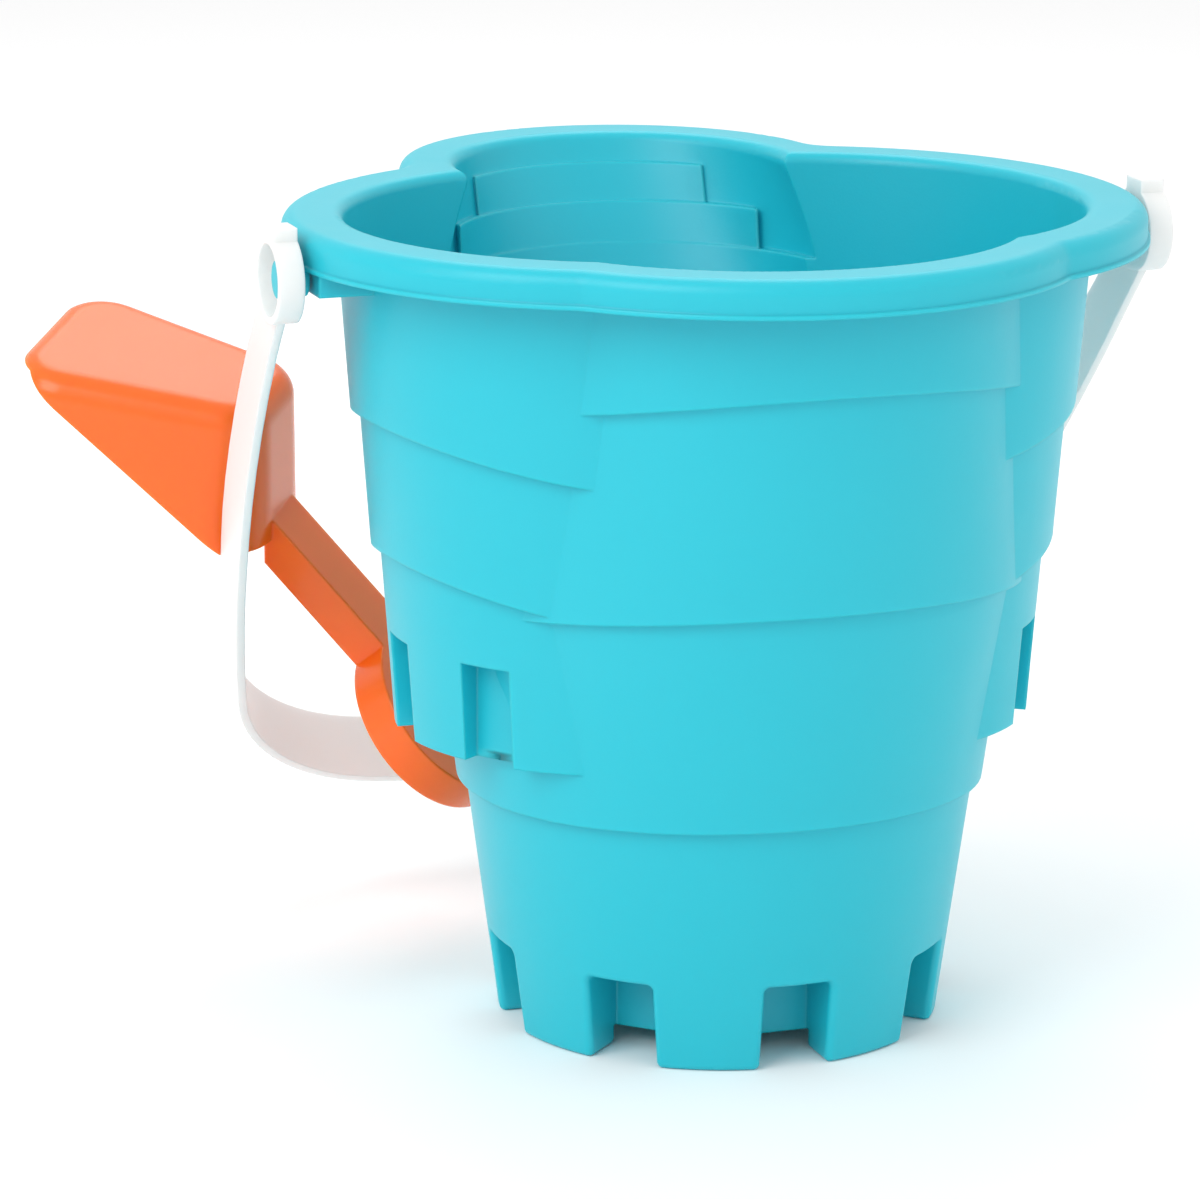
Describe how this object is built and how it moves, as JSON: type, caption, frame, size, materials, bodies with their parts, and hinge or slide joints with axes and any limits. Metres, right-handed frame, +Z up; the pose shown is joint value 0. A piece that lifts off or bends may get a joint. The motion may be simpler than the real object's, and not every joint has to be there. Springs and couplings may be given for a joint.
{
  "type": "sand bucket",
  "caption": "Castle-shaped sand bucket with a four-lobed rim, a swinging strap handle and a scoop stored through the handle.",
  "frame": {"origin": "on the axis of the bucket's round middle tower, at the ground it stands on", "axes": "+Z up, +X along the handle pins, +Y to the back, where the handle hangs"},
  "size_m": [0.2789, 0.2621, 0.2166],
  "materials": {
    "bucket_plastic": "satin",
    "handle_plastic": "satin",
    "shovel_plastic": "gloss"
  },
  "bodies": {
    "bucket": {"bucket_shell": "bucket_plastic"},
    "bail": {"bail_handle": "handle_plastic"},
    "shovel": {"shovel": "shovel_plastic"}
  },
  "joints": [
    {"name": "bail_swing", "type": "hinge", "parent": "bucket", "child": "bail", "pos_m": [0, 0, 0.203], "axis": [1, 0, 0], "range_deg": [0, 235]},
    {"name": "shovel_draw", "type": "slide", "parent": "bail", "child": "shovel", "axis": [-0.611, 0.2383, 0.7549], "range_m": [0, 0.045]}
  ]
}
